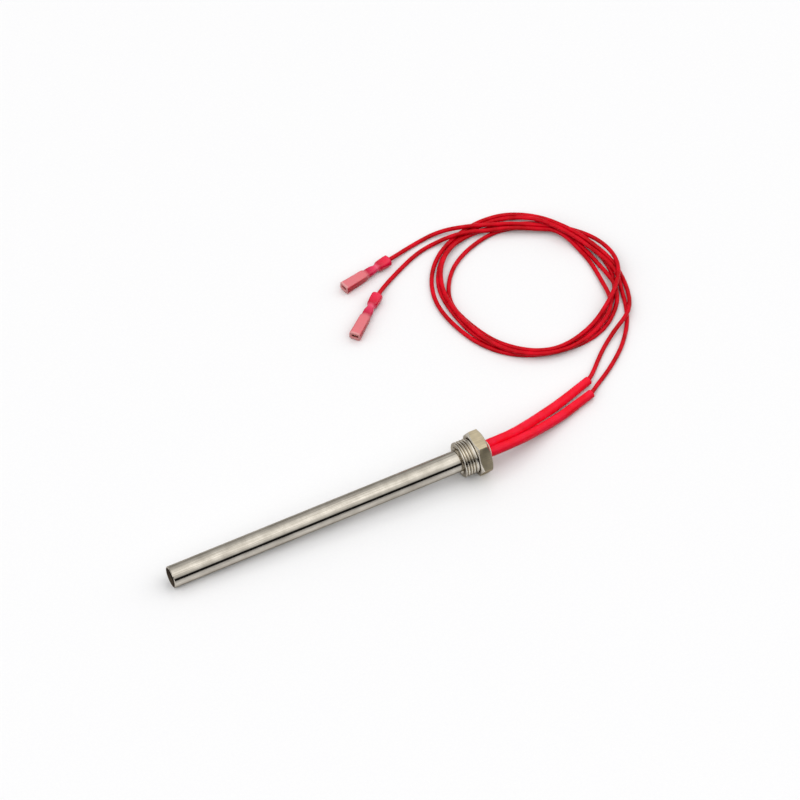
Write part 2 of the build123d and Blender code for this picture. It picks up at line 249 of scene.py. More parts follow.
# %% Stations of the coil
coil_middle = (64.0, 84.0)
coil_stations = {
    "a": [
        (-12, 40.9, 2.1), (-2, 38.5, 3.0), (8, 36.7, 3.3), (18, 35.5, 4.1), (28, 34.5, 5.1),
        (40, 34.6, 5.1), (52, 36.6, 4.0), (64, 39.4, 1.9), (76, 41.4, 1.1), (95, 42.0, 1.0),
        (112, 42.2, 1.0), (130, 43.1, 1.0), (150, 43.4, 1.0), (162, 43.1, 1.0), (170, 42.8, 1.0),
        (178, 42.2, 1.0), (186, 41.6, 1.0), (194, 41.3, 1.0), (202, 41.4, 1.0), (210, 41.7, 1.0),
        (220, 42.0, 1.0), (232, 42.4, 1.0), (245, 42.4, 1.0), (258, 42.3, 1.0), (270, 42.4, 1.0),
        (282, 43.0, 1.0), (292, 43.3, 1.0), (300, 43.1, 1.0), (308, 42.4, 1.1), (315, 42.2, 1.3),
        (322, 41.4, 2.2), (329, 39.7, 3.4), (336, 37.6, 2.6), (344, 35.8, 1.3), (354, 33.8, 1.0),
        (366, 32.9, 1.0), (378, 32.8, 1.0), (390, 33.3, 1.0), (400, 33.8, 1.0), (412, 33.6, 1.0),
        (424, 33.1, 1.0), (435, 32.9, 1.0), (450, 33.1, 1.0), (465, 32.7, 1.0), (480, 33.1, 1.0),
        (500, 34.5, 1.0), (515, 35.5, 1.0), (530, 36.5, 1.0), (538, 36.4, 1.0), (546, 35.9, 1.0),
        (554, 35.6, 1.0), (562, 35.6, 1.0), (570, 36.2, 1.2), (578, 37.3, 1.6), (586, 38.8, 2.7),
        (594, 39.9, 3.0), (602, 40.8, 3.1), (610, 41.4, 2.9), (618, 41.7, 2.9), (626, 41.3, 2.9),
        (634, 40.3, 3.0), (642, 39.5, 3.0), (650, 38.8, 2.9), (658, 38.4, 3.1), (666, 38.2, 3.8),
        (674, 38.8, 4.9), (682, 39.5, 5.4), (692, 40.5, 5.3), (702, 41.5, 4.8), (712, 41.9, 3.6),
        (724, 40.9, 3.2), (736, 38.8, 3.1), (748, 36.4, 3.05), (760, 34.8, 2.9), (775, 32.9, 2.85),
        (790, 33.4, 3.0), (800, 34.6, 3.1),
    ],
    "b": [
        (-20, 40.8, 2.8), (-11, 38.4, 3.1), (0, 35.7, 3.1), (10, 34.1, 3.2), (20, 32.9, 4.2),
        (30, 32.3, 5.0), (42, 32.8, 5.15), (54, 34.8, 4.6), (66, 37.5, 2.5), (78, 39.3, 1.1),
        (95, 39.9, 1.0), (112, 40.1, 1.0), (130, 40.8, 1.0), (150, 40.5, 1.0), (162, 39.8, 1.0),
        (170, 38.9, 1.0), (178, 38.3, 1.0), (186, 38.0, 1.0), (194, 38.1, 1.0), (202, 38.7, 1.0),
        (210, 39.3, 1.0), (220, 39.9, 1.0), (235, 40.3, 1.0), (253, 40.3, 1.0), (270, 40.2, 1.0),
        (282, 40.0, 1.0), (292, 39.8, 1.0), (302, 39.3, 1.0), (312, 39.3, 1.0), (322, 39.4, 1.0),
        (332, 39.2, 1.0), (345, 38.5, 1.0), (358, 36.9, 1.0), (372, 35.7, 1.0), (386, 35.4, 1.0),
        (402, 35.9, 1.0), (418, 35.5, 1.0), (434, 35.0, 1.0), (446, 35.5, 1.0), (455, 36.8, 1.0),
        (463, 37.8, 1.0), (468, 38.1, 1.2), (474, 38.6, 2.1), (482, 39.4, 2.75), (492, 39.9, 2.9),
        (501, 39.8, 2.9), (510, 39.3, 2.85), (520, 38.6, 2.8), (530, 37.9, 2.8), (545, 37.3, 2.9),
        (560, 37.6, 2.95), (575, 39.3, 2.9), (590, 41.6, 3.0), (605, 43.2, 3.0), (615, 43.7, 3.0),
        (626, 43.7, 3.0), (640, 42.9, 3.0), (650, 42.1, 3.0), (660, 41.6, 3.0), (668, 41.0, 3.1),
        (676, 39.3, 3.1), (685, 36.3, 2.1), (695, 33.5, 1.3), (707, 31.7, 1.1), (722, 30.8, 1.0),
        (736, 30.7, 1.2), (748, 31.5, 2.3), (760, 32.5, 2.7), (775, 30.8, 2.7), (790, 31.0, 2.9),
        (803, 32.3, 3.0),
    ],
}
print("stations:", {mark: len(rows) for mark, rows in coil_stations.items()})

# %% Points before and after the coil
sleeve_points = {
    "a": [
        (22.5, 5.7, 7.2), (32.5, 9.5, 4.7), (43.0, 13.3, 2.9), (53.0, 17.1, 2.3),
        (62.3, 20.4, 2.2),
    ],
    "b": [
        (22.5, 0.9, 6.7), (32.0, 4.1, 4.3), (42.0, 7.1, 2.6), (51.5, 10.4, 2.2),
        (60.0, 13.1, 2.2),
    ],
}
feed_points = {
    "a": [
        (67.2, 24.9, 1.2), (72.0, 29.9, 1.0), (77.0, 34.6, 1.0), (82.5, 38.8, 1.4),
        (87.8, 42.0, 2.5), (92.0, 44.1, 3.3), (96.3, 47.5, 3.3), (100.0, 53.0, 2.3),
        (102.4, 59.5, 1.2), (103.8, 66.2, 1.1),
    ],
    "b": [
        (65.0, 17.1, 1.2), (70.5, 20.6, 1.0), (75.9, 24.4, 1.0), (80.9, 28.4, 1.0),
        (85.4, 32.6, 1.0), (89.4, 37.3, 1.0), (93.0, 42.3, 1.0), (95.8, 47.6, 1.0),
        (98.2, 53.7, 1.0), (99.9, 60.5, 1.0),
    ],
}
tail_points = {
    "a": [
        (63.4, 120.8, 3.0), (57.1, 123.4, 3.0), (50.5, 125.5, 2.9), (44.0, 127.4, 2.3),
        (37.5, 128.3, 1.3), (31.2, 127.5, 1.0), (25.5, 126.4, 1.0), (19.0, 124.5, 1.5),
        (12.8, 122.5, 2.45),
    ],
    "b": [
        (61.9, 117.7, 3.0), (55.5, 120.2, 3.2), (48.8, 121.8, 3.3), (42.7, 122.7, 2.6),
        (36.7, 123.2, 1.3), (30.2, 122.4, 1.0), (23.7, 120.2, 1.0), (17.2, 117.1, 1.0),
        (10.6, 113.7, 1.0), (4.6, 110.0, 1.5), (-0.8, 105.9, 2.45),
    ],
}
print("points before and after the coil:", sum(
    len(rows) for table in (sleeve_points, feed_points, tail_points) for rows in table.values()
))


# %% Points of the coil's turns
def eased(rows, angle, column):
    """Value of a column at an angle, on a smooth curve through the stations."""
    last = len(rows) - 1
    index = max(0, min(last - 1, sum(1 for row in rows[1:-1] if row[0] <= angle)))

    def slope(at):
        before, after = rows[max(at - 1, 0)], rows[min(at + 1, last)]
        return (after[column] - before[column]) / (after[0] - before[0])

    width = rows[index + 1][0] - rows[index][0]
    u = (angle - rows[index][0]) / width
    return (
        rows[index][column] * (2 * u**3 - 3 * u**2 + 1)
        + rows[index + 1][column] * (3 * u**2 - 2 * u**3)
        + slope(index) * width * (u**3 - 2 * u**2 + u)
        + slope(index + 1) * width * (u**3 - u**2)
    )


def coil_turns(rows, step=10.0):
    """Points of the turns. A smooth line cuts inside its points, so they stand a little wider."""
    first, last = rows[0][0], rows[-1][0]
    count = round((last - first) / step)
    wider = 1 / cos(radians(step / 2))
    points = []
    for index in range(count + 1):
        angle = first + (last - first) * index / count
        out = eased(rows, angle, 1) * wider
        x = coil_middle[0] + out * cos(radians(angle))
        y = coil_middle[1] + out * sin(radians(angle))
        points.append((x, y, eased(rows, angle, 2)))
    return points


def from_rear(points):
    """Route points, given from the rear of the hexagon, in the frame."""
    return [Vector((rear.x + x, y, z)) for x, y, z in points]


# %% [markdown]
# Each lead becomes one open spline with a round bevel. A quadratic spline that ends on its last
# points bends like a stiff wire: no corner, no wobble between the points. The order and the
# end rule are set after the points, because the spline needs its points first.

# %% Smooth lines
def smooth_line(name, points, radius):
    """Curve object of one smooth open spline through the given control points."""
    curve = bpy.data.curves.new(name, "CURVE")
    curve.dimensions = "3D"
    curve.resolution_u = 7
    curve.bevel_depth = radius * mm
    curve.bevel_resolution = 5
    curve.use_fill_caps = radius > 0
    spline = curve.splines.new("NURBS")
    spline.points.add(len(points) - 1)
    for target, point in zip(spline.points, points):
        target.co = (*(point * mm), 1.0)
    spline.order_u = 3
    spline.use_endpoint_u = True
    line = bpy.data.objects.new(name, curve)
    bpy.context.scene.collection.objects.link(line)
    return line


def points_of(line):
    """Points that a smooth line really runs through, as its mesh without a bevel gives them."""
    bare = line.copy()
    bare.data = line.data.copy()
    bare.data.bevel_depth = 0
    mesh = bpy.data.meshes.new_from_object(bare)
    points = [vertex.co.copy() for vertex in mesh.vertices]
    bpy.data.meshes.remove(mesh)
    bpy.data.objects.remove(bare)
    return points


def length_of(points):
    """Length of a run of points."""
    return sum((after - before).length for before, after in zip(points, points[1:]))


# %% Draw the leads
lead_radius = 1.0
lead_start = 163.7
lead_entry = 5.2
side_of = {"a": 2.25, "b": -2.25}
heading_of = {"a": radians(193.4), "b": radians(221.1)}
exit_of = {mark: tip + along * lead_start + Vector((0, side, 0)) for mark, side in side_of.items()}
entry_of = {mark: from_rear(rows[-1:])[0] for mark, rows in tail_points.items()}
leads = {}
for mark, heading in heading_of.items():
    route = [exit_of[mark]]
    route += from_rear(sleeve_points[mark] + feed_points[mark])
    route += from_rear(coil_turns(coil_stations[mark]) + tail_points[mark])
    route.append(entry_of[mark] + Vector((cos(heading), sin(heading), 0)) * lead_entry)
    leads[mark] = smooth_line(f"lead_{mark}", route, lead_radius)
    leads[mark].data.materials.append(lead_red)
    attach(leads[mark], "root")
    print(leads[mark].name, "points:", len(route))
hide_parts("lead_a_feed", "lead_coil", "lead_a_tail")
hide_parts("lead_b_feed", "lead_b_tail")

# %% [markdown]
# ## Turning round pieces
#
# A turned piece is drawn as a lathe hand would think of it: half its section. One vertex is
# extruded from point to point, and the line is spun round the Z axis. A stack of cylinders would
# need a boolean at every step, and the spun line is one clean mesh. Doubled points at the seam
# and at the poles are merged, and only then are the normals turned outwards.

# %% Draw, merge and spin
weld_gap = 0.0004 * mm


def draw_line(points):
    """Start a mesh with one vertex and extrude it from point to point; stays in edit mode."""
    start_clean()
    bpy.ops.mesh.primitive_plane_add(size=mm, location=(0, 0, 0))
    bpy.ops.object.mode_set(mode="EDIT")
    bpy.ops.mesh.merge(type="CENTER")
    points = [Vector(point) * mm for point in points]
    bpy.ops.transform.translate(value=points[0])
    for before, after in zip(points, points[1:]):
        bpy.ops.mesh.extrude_region_move(TRANSFORM_OT_translate={"value": after - before})
    bpy.ops.mesh.select_all(action="SELECT")
    return bpy.context.object


def close_up(piece):
    """Merge doubled points and turn every face outwards."""
    only(piece)
    bpy.ops.object.mode_set(mode="EDIT")
    bpy.ops.mesh.select_all(action="SELECT")
    bpy.ops.mesh.remove_doubles(threshold=weld_gap)
    bpy.ops.mesh.normals_make_consistent(inside=False)
    bpy.ops.object.mode_set(mode="OBJECT")
    return piece


def turned(profile, steps=96):
    """Spin a closed profile of (radius, distance) points round the Z axis."""
    piece = draw_line([(radius, 0, distance) for radius, distance in [*profile, profile[0]]])
    bpy.ops.mesh.spin(steps=steps, angle=2 * pi, center=(0, 0, 0), axis=(0, 0, 1))
    bpy.ops.object.mode_set(mode="OBJECT")
    return close_up(piece)


# %% Modifiers and booleans
def apply_modifier(piece, kind, **settings):
    """Add a modifier, set it and apply it."""
    only(piece)
    modifier = piece.modifiers.new(kind.lower(), kind)
    for key, value in settings.items():
        setattr(modifier, key, value)
    bpy.ops.object.modifier_apply(modifier=modifier.name)
    return piece


def combine(piece, other, operation):
    """Boolean with another piece, which is used up."""
    apply_modifier(piece, "BOOLEAN", object=other, operation=operation, solver="EXACT")
    bpy.data.objects.remove(other)
    return piece


# %% [markdown]
# ## Stainless steel
#
# The sheath is drawn stainless tube. Drawing through a die leaves very fine lines along it. They
# are shallow, so what it mirrors stays sharp, with faint streaks along the tube. The fitting is
# turned from bar, and its tool marks run round it; the flats of its hexagon are milled, and
# duller. All are a warm grey metal, a little cloudy where hands and oil have been, and the disc in
# the tip has glowed, so its scale is matt and nearly black. Noise stretched in one direction
# draws the lines, because a plain roughness would blur the mirror image and show no line. The real
# ones are finer than a pixel, so they are drawn wider here, or they wouldn't show.

# %% Stainless steel
def bare_steel(name, dark, light, roughness, line_size, line_depth, shade=None, dull=None):
    """Bare metal with fine lines; line_size gives their length along the tube and across it.

    shade gives a colour to multiply the metal's by: scale in the bore, or painted shade in the
    thread's roots. dull gives a roughness to add.
    """
    cloud_size = 6.667 * mm
    along_size, across_size = line_size
    material, tree = new_material(name)
    space = pattern_space(tree, turn=(0, -climb, 0))
    stretched = pattern_space(
        tree, turn=(0, -climb, 0), scale=(along_size * mm, across_size * mm, across_size * mm)
    )
    lines = add_node(
        tree, "ShaderNodeTexNoise", Vector=stretched, Scale=1.0, Detail=4.0, Roughness=0.6
    )
    clouds = add_node(
        tree, "ShaderNodeTexNoise", Vector=space, Scale=1 / cloud_size, Detail=5.0, Roughness=0.6
    )
    both = add_node(tree, "ShaderNodeMath", {"operation": "MULTIPLY"}, i0=lines, i1=clouds)
    colour = add_node(
        tree, "ShaderNodeValToRGB", {"stops": [(0.14, dark), (0.38, light)]}, Fac=both
    )
    if shade:
        mixed = add_node(tree, "ShaderNodeMix", multiply, i0=1.0, i6=colour, i7=shade(tree))
        colour = mixed.outputs[2]
    gloss = add_node(
        tree, "ShaderNodeMapRange", Value=clouds, To_Min=roughness * 0.7, To_Max=roughness * 1.3
    )
    if dull:
        gloss = add_node(tree, "ShaderNodeMath", {"operation": "ADD"}, i0=gloss, i1=dull(tree))
    relief = add_node(
        tree, "ShaderNodeBump", Strength=0.3, Distance=line_depth * mm, Height=lines
    )
    shader = add_node(
        tree, "ShaderNodeBsdfPrincipled", Base_Color=colour, Metallic=1.0, Roughness=gloss,
        Specular_Tint=linear("#A29C94"), Normal=relief,
    )
    add_node(tree, "ShaderNodeOutputMaterial", Surface=shader)
    return material


# %% The tube's bore and the thread's roots
tube_bore = 4.3
tube_radius = 5.0


def outside_share(tree):
    """0 on the tube's bore and 1 on its outside; it goes by the distance to the axis."""
    place = pattern_space(tree, turn=(0, -climb, 0), scale=(mm, mm, mm), origin=tip * mm)
    across = add_node(
        tree, "ShaderNodeVectorMath", {"operation": "MULTIPLY"}, i0=place, i1=(0.0, 1.0, 1.0)
    )
    distance = add_node(tree, "ShaderNodeVectorMath", {"operation": "LENGTH"}, i0=across)
    return add_node(
        tree, "ShaderNodeMapRange", Value=distance.outputs["Value"], From_Min=tube_bore,
        From_Max=tube_radius,
    )


def scaled_bore(tree):
    """The heat leaves scale in the bore at the open end, so it is darker than the outside."""
    return add_node(
        tree, "ShaderNodeValToRGB", {"stops": [(0.06, "#A49A92"), (0.42, "#FFFFFF")]},
        Fac=outside_share(tree),
    )


def dull_bore(tree):
    """Roughness that the scale adds in the bore."""
    return add_node(
        tree, "ShaderNodeMapRange", Value=outside_share(tree), From_Min=0.06, From_Max=0.42,
        To_Min=0.6, To_Max=0.0,
    )


def painted_root_shade(tree):
    """Painted shade darkens the thread's roots; the mesh stores each point's height."""
    height = add_node(tree, "ShaderNodeAttribute", {"attribute_name": "height"})
    return add_node(
        tree, "ShaderNodeValToRGB",
        {"stops": [(0.04, "#A8A298"), (0.30, "#FAF8F4"), (0.70, "#FFFFFF")]},
        Fac=height.outputs["Fac"],
    )


# %% Steel finishes
drawn_steel = bare_steel(
    "drawn_stainless_tube", "#ADA79D", "#D2CCC2", 0.065, (24.0, 0.35), 0.002, scaled_bore, dull_bore
)
# The turned thread gets painted shade in its roots.
turned_steel = bare_steel(
    "turned_stainless_thread", "#C2BCB2", "#EEE8DC", 0.21, (0.22, 20.0), 0.004, painted_root_shade
)
milled_steel = bare_steel("milled_hexagon", "#BAAE94", "#DED0B2", 0.33, (16.0, 0.3), 0.008)
scaled_steel = bare_steel("heat_scaled_disc", "#1E1A17", "#38322C", 0.50, (1.0, 1.0), 0.01)
print("steels:", drawn_steel.name, turned_steel.name, milled_steel.name, scaled_steel.name)

# %% [markdown]
# ## The screw-in fitting
#
# A hexagon of 19 mm and a 3/8 inch pipe thread are turned from one bar. The thread is cut for
# real here: one tooth of its 55 degree profile is drawn and swept by the Screw modifier, and a
# boolean cuts the rod that this gives to its length. The nose of such a fitting is faced off and
# countersunk round the tube, so it is turned as a ring of its own and joined on, which keeps its
# edge clean where the thread runs out. The collar behind the thread is made in the same way. The
# hexagon is cut back by a double cone, which leaves the arcs that a chamfered nut shows on its
# flats.

# %% Swept thread
pitch = 1.337
crest = 8.2
root = crest - 0.68
bore = 5.05
countersink = 1.3
nose = 0.45
thread_start = 139.8
collar_start = 145.35
thread_turns = 9
tooth = [
    (root, 0.0), (root + 0.03, 0.12), (root + 0.11, 0.22), (crest - 0.13, 0.49),
    (crest - 0.04, 0.58), (crest, pitch / 2), (crest - 0.04, pitch - 0.58),
    (crest - 0.13, pitch - 0.49), (root + 0.11, pitch - 0.22), (root + 0.03, pitch - 0.12),
    (root, pitch),
]


def cap_end(piece, low):
    """Close the low or the high end of an open sweep with a fan of faces to one point."""
    only(piece)
    bpy.ops.object.mode_set(mode="EDIT")
    bpy.ops.mesh.select_mode(type="EDGE")
    bpy.ops.mesh.select_all(action="DESELECT")
    shape = bmesh.from_edit_mesh(piece.data)
    middle = sum(vertex.co.z for vertex in shape.verts) / len(shape.verts)
    for edge in shape.edges:
        if edge.is_boundary and (edge.verts[0].co.z < middle) == low:
            edge.select_set(True)
    bmesh.update_edit_mesh(piece.data)
    bpy.ops.mesh.extrude_edges_move()
    bpy.ops.mesh.merge(type="CENTER")
    bpy.ops.mesh.select_mode(type="VERT")
    bpy.ops.object.mode_set(mode="OBJECT")


thread = draw_line([(radius, 0, thread_start - 2 * pitch + rise) for radius, rise in tooth])
bpy.ops.object.mode_set(mode="OBJECT")
apply_modifier(
    thread, "SCREW", axis="Z", angle=2 * pi, screw_offset=pitch * mm, iterations=thread_turns,
    steps=72, render_steps=72,
)
close_up(thread)
cap_end(thread, True)
cap_end(thread, False)
close_up(thread)
print("thread faces:", len(thread.data.polygons))

# %% Nose and collar
cut_front = thread_start + 0.35
envelope = turned([
    (bore + 0.3, thread_start + 0.9), (root - 0.3, cut_front), (crest + 0.2, cut_front),
    (crest + 0.2, collar_start), (bore + 0.3, collar_start),
])
fitting = combine(thread, envelope, "INTERSECT")
nose_ring = turned([
    (bore, thread_start + countersink), (bore + countersink, thread_start),
    (crest - 0.32, thread_start), (crest - 0.06, thread_start + 0.22),
    (crest - 0.06, thread_start + nose), (root - 0.1, thread_start + 0.9),
    (bore + 1.0, thread_start + 1.4), (bore + 0.5, thread_start + 2.0), (bore, thread_start + 2.0),
])
fitting = combine(fitting, nose_ring, "UNION")
collar = turned([
    (bore, collar_start - 0.15), (root, collar_start - 0.15), (crest - 0.15, collar_start + 0.10),
    (crest - 0.05, collar_start + 0.25), (crest - 0.05, collar_start + 0.75),
    (crest - 0.30, collar_start + 0.90), (root, hex_front - 0.12), (root, hex_front + 0.1),
    (bore, hex_front + 0.1),
])
fitting = combine(fitting, collar, "UNION")
print("thread with nose and collar, faces:", len(fitting.data.polygons))

# %% Hexagon
hex_width = 19.0
hex_corner = hex_width / 2 / cos(pi / 6)
face_radius = 9.1
chamfer = radians(30)
bevel_length = (hex_corner - face_radius) * sin(chamfer) / cos(chamfer)
start_clean()
bpy.ops.mesh.primitive_cylinder_add(
    vertices=6, radius=hex_corner * mm, depth=(hex_rear - hex_front) * mm,
    location=(0, 0, (hex_front + hex_rear) / 2 * mm),
)
hexagon = bpy.context.object
bpy.ops.object.transform_apply(location=True, rotation=True, scale=True)
double_cone = turned([
    (bore, hex_front), (face_radius, hex_front), (hex_corner, hex_front + bevel_length),
    (hex_corner + 0.5, hex_front + bevel_length), (hex_corner + 0.5, hex_rear - bevel_length),
    (hex_corner, hex_rear - bevel_length), (face_radius, hex_rear), (bore, hex_rear),
])
hexagon = combine(hexagon, double_cone, "INTERSECT")
apply_modifier(
    hexagon, "BEVEL", width=0.16 * mm, segments=2, limit_method="ANGLE", angle_limit=radians(24)
)
fitting = combine(fitting, hexagon, "UNION")
close_up(fitting)


# %% Finish of the fitting
def store_share(piece, name, share_at):
    """Store a share from 0 to 1 at each vertex, worked out from its place, for a material."""
    attribute = piece.data.attributes.new(name, "FLOAT", "POINT")
    for index, vertex in enumerate(piece.data.vertices):
        x, y, z = (value / mm for value in vertex.co)
        attribute.data[index].value = max(0.0, min(1.0, share_at(x, y, z)))


def thread_height(x, y, z):
    """0 at a root of the thread, 1 at a crest and off the thread."""
    threaded = thread_start + nose < z < collar_start - 0.01
    return (hypot(x, y) - root) / (crest - root) if threaded else 1.0


store_share(fitting, "height", thread_height)
finish_piece(fitting, "screw_fitting", turned_steel, heater_place, smooth=28)
fitting.data.materials.append(milled_steel)
for face in fitting.data.polygons:
    on_hexagon = (face.center / mm - tip).dot(along) > hex_front - 0.02
    if on_hexagon and abs(face.normal.dot(along)) < 0.2:
        face.material_index = 1
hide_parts("hex_fitting")

# %% [markdown]
# ## The heater's two ends
#
# The tip is closed by a disc set back from the rim, with the small bead of its weld in the corner.
# Behind the hexagon the tube is brazed in, and pale cement closes it round the sleeves. The
# braze and the cement are laid by hand, so their edges wander. Both are turned first, and a
# Displace modifier with a cloud texture then does what sculpting would, the same in each run.

# %% Wandering edges
def wander(piece, amount, size):
    """Displace a piece along its normals by a soft cloud texture."""
    texture = bpy.data.textures.new(piece.name + "_wander", "CLOUDS")
    texture.noise_scale = size * mm
    texture.noise_depth = 2
    return apply_modifier(
        piece, "DISPLACE", texture=texture, texture_coords="LOCAL", strength=amount * mm
    )


# %% Tip disc
plug_radius = tube_bore - 0.05
disc = turned([
    (0.0, 1.75), (1.2, 1.72), (2.6, 1.68), (3.35, 1.62), (3.6, 1.42), (3.85, 1.30), (4.1, 1.34),
    (plug_radius, 1.55), (plug_radius, 2.8), (0.0, 2.8),
])
finish_piece(disc, "tip_plug", scaled_steel, heater_place)
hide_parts("tip_disc")

# %% Matt and grainy finishes
def grainy(name, dark, light, roughness, grain, metallic=0.0, depth=0.05):
    """Matt surface with a speckled colour and a grain of a given width in millimetres."""
    material, tree = new_material(name)
    space = pattern_space(tree, scale=(grain * mm,) * 3)
    speck = add_node(tree, "ShaderNodeTexNoise", Vector=space, Scale=1.0, Detail=6.0, Roughness=0.6)
    lumps = add_node(tree, "ShaderNodeTexVoronoi", Vector=space, Scale=0.8)
    colour = add_node(
        tree, "ShaderNodeValToRGB", {"stops": [(0.36, dark), (0.62, light)]}, Fac=speck
    )
    height = add_node(tree, "ShaderNodeMath", {"operation": "ADD"}, i0=speck, i1=lumps)
    relief = add_node(tree, "ShaderNodeBump", Strength=0.5, Distance=depth * mm, Height=height)
    gloss = add_node(
        tree, "ShaderNodeMapRange", Value=speck, To_Min=roughness - 0.08, To_Max=roughness + 0.08
    )
    shader = add_node(
        tree, "ShaderNodeBsdfPrincipled", Base_Color=colour, Roughness=gloss, Metallic=metallic,
        Normal=relief,
    )
    add_node(tree, "ShaderNodeOutputMaterial", Surface=shader)
    return material


# %% Braze and cement
# Silver braze freezes as a smooth, faintly yellow bead. Cement dries matt, sandy and pale.
silver_braze = grainy("silver_braze", "#B9A77E", "#D9CBA6", 0.34, 0.6, metallic=1.0, depth=0.02)
cement = grainy("potting_cement", "#CFC8B8", "#E6E1D4", 0.80, 0.35)
bead = turned([
    (tube_radius, 152.35), (6.1, 152.35), (6.0, 152.55), (5.7, 152.85), (5.35, 153.15),
    (5.06, 153.32), (tube_radius, 153.3),
])
wander(bead, 0.22, 2.2)
finish_piece(bead, "braze_bead", silver_braze, heater_place, smooth=60)
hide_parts("braze_ring")
cap = turned([
    (0.0, 153.0), (plug_radius, 153.0), (4.6, 153.42), (4.5, 153.8), (4.1, 154.2), (3.3, 154.5),
    (1.6, 154.65), (0.0, 154.7),
])
apply_modifier(cap, "SUBSURF", levels=1, render_levels=1)
wander(cap, 0.35, 1.6)
finish_piece(cap, "cement_cap", cement, heater_place, smooth=70)

# %% [markdown]
# ## The two sleeves
#
# Each splice is covered by a thicker red silicone sleeve. It swells a little over the crimp
# barrel, then lies slack along the lead, and ends in a square cut that shows its wall. A curve
# with a round bevel would be quick, but has one thickness and no bore. So the sleeve is turned
# straight, and the Curve modifier bends it along its own smooth line.

# %% Sleeve along its line
sleeve_outside = [
    (0.0, 1.98), (0.8, 2.12), (1.6, 2.19), (3.0, 2.22), (8.0, 2.22), (9.4, 2.2), (11.0, 2.17),
    (16.0, 2.2), (36.0, 2.25), (46.0, 2.2), (54.0, 2.08),
]
sleeve_bore = 1.5


def close_points(line, step):
    """Points of a (distance, radius) line, with more between them where they lie far apart."""
    points = []
    for (start, start_radius), (end, end_radius) in zip(line, line[1:]):
        count = max(1, round(abs(end - start) / step))
        for index in range(count):
            share = index / count
            radius = start_radius + (end_radius - start_radius) * share
            points.append((start + (end - start) * share, radius))
    return points + [line[-1]]


def bent_sleeve(name, route):
    """Turn a sleeve as long as its route, and bend it along the route."""
    guide = smooth_line(name + "_guide", route, 0)
    length = length_of(points_of(guide)) / mm
    outside = close_points([*sleeve_outside, (length - 0.25, 2.0), (length, 1.92)], 0.9)
    inside = close_points([(length, 1.55), (length - 0.3, 1.48), (0.4, sleeve_bore)], 1.5)
    sleeve = turned([(radius, distance) for distance, radius in outside + inside], steps=40)
    sleeve.data.transform(Matrix.Rotation(pi / 2, 4, "Y"))
    apply_modifier(sleeve, "CURVE", object=guide, deform_axis="POS_X")
    bpy.data.objects.remove(guide)
    return wander(sleeve, 0.10, 3.5)


# %% Sleeves
sleeve_red = red_jacket("silicone_sleeve", "#F40A26", "#FF1C40", 0.32, 0.12, 0.18)
seal_face = 153.8
sleeve_straight = 11.6
for mark, side in side_of.items():
    seal = tip + along * seal_face + Vector((0, side, 0))
    route = [seal, seal + along * sleeve_straight, *from_rear(sleeve_points[mark])]
    sleeve = bent_sleeve(f"sleeve_{mark}", route)
    finish_piece(sleeve, f"sleeve_cover_{mark}", sleeve_red, smooth=50)
    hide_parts(f"sleeve_{mark}")

# %% [markdown]
# ## Insulated receptacles
#
# The leads end in push-on receptacles. A soft plastic cover is moulded round each one: a barrel
# that the crimping tool has squeezed oval, a waist, a second crimp and an open box. A narrow lip
# guides the tab in at the mouth, and the box behind it is wide enough for the rolled metal. A
# bevelled box would show none of this flow from round to square. So the cover is drawn as rings,
# each extruded from the last one. It goes out along the outside, turns in at the mouth, and comes
# back along the inside. It is modelled once, and the second receptacle gets a copy.

# %% Rings of a receptacle cover
def ring_points(distance, width, height, square, count=48):
    """Ring across X; a square of 2 gives an ellipse, and higher values come near a rectangle."""
    points = []
    for index in range(count):
        angle = 2 * pi * index / count
        y, z = cos(angle), sin(angle)
        flat = (abs(y) ** square + abs(z) ** square) ** (1 / square)
        points.append((distance * mm, y / flat * width / 2 * mm, z / flat * height / 2 * mm))
    return points


def lofted(stations, count=48):
    """Extrude a circle from ring to ring and set each ring's points; the last is the first."""
    start_clean()
    bpy.ops.mesh.primitive_circle_add(vertices=count, radius=mm, fill_type="NOTHING")
    piece = bpy.context.object
    bpy.ops.object.mode_set(mode="EDIT")
    for index, station in enumerate([*stations, stations[0]]):
        if index:
            bpy.ops.mesh.extrude_edges_move(TRANSFORM_OT_translate={"value": (0, 0, 0)})
        shape = bmesh.from_edit_mesh(piece.data)
        ring = [vertex for vertex in shape.verts if vertex.select]
        ring.sort(key=lambda vertex: vertex.index)
        if index == 0:
            ring.sort(key=lambda vertex: atan2(vertex.co.y, vertex.co.x) % (2 * pi))
        for vertex, point in zip(ring, ring_points(*station, count)):
            vertex.co = point
        bmesh.update_edit_mesh(piece.data)
    bpy.ops.object.mode_set(mode="OBJECT")
    return close_up(piece)


